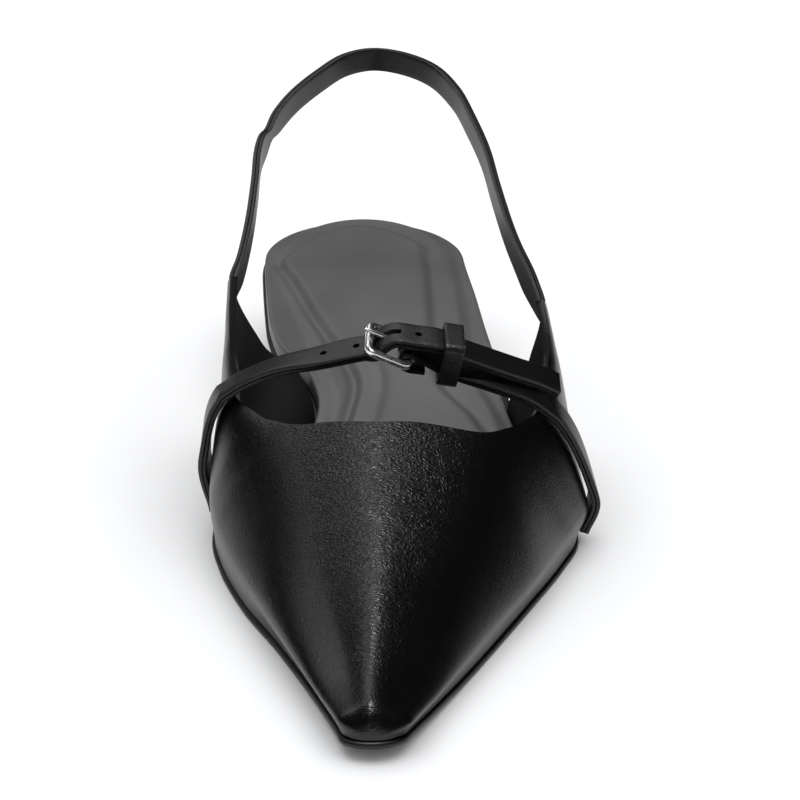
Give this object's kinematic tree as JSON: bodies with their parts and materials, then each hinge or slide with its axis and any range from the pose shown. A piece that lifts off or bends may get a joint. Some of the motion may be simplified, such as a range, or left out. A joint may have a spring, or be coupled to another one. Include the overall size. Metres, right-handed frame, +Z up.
{
  "type": "pointed toe slingback sandal",
  "caption": "Women's flat with a closed pointed toe, an open heel held by a slingback strap, and a thin buckled strap over the instep, on a thin sole and a low block heel.",
  "frame": {"origin": "on the floor, under the middle of the heel's tread", "axes": "+Z up, -Y towards the toe, +X towards the outer (lateral) side of the left foot"},
  "size_m": [0.0927, 0.2703, 0.077],
  "materials": {
    "upper_leather": "black smooth leather with a fine wrinkled grain",
    "strap_leather": "black smooth leather, satin",
    "insole_lining": "dark grey satin lining",
    "heel_cover": "black leather-covered block",
    "sole_rubber": "black matte sole",
    "buckle_metal": "polished silver"
  },
  "bodies": {
    "root": {"outsole": "sole_rubber", "insole": "insole_lining", "heel_block": "heel_cover", "heel_tip": "sole_rubber", "upper": "upper_leather", "slingback_strap": "strap_leather", "instep_strap_medial": "strap_leather", "instep_strap_lateral": "strap_leather", "keeper_loop": "strap_leather", "buckle_frame": "buckle_metal", "buckle_prong": "buckle_metal"}
  },
  "joints": []
}
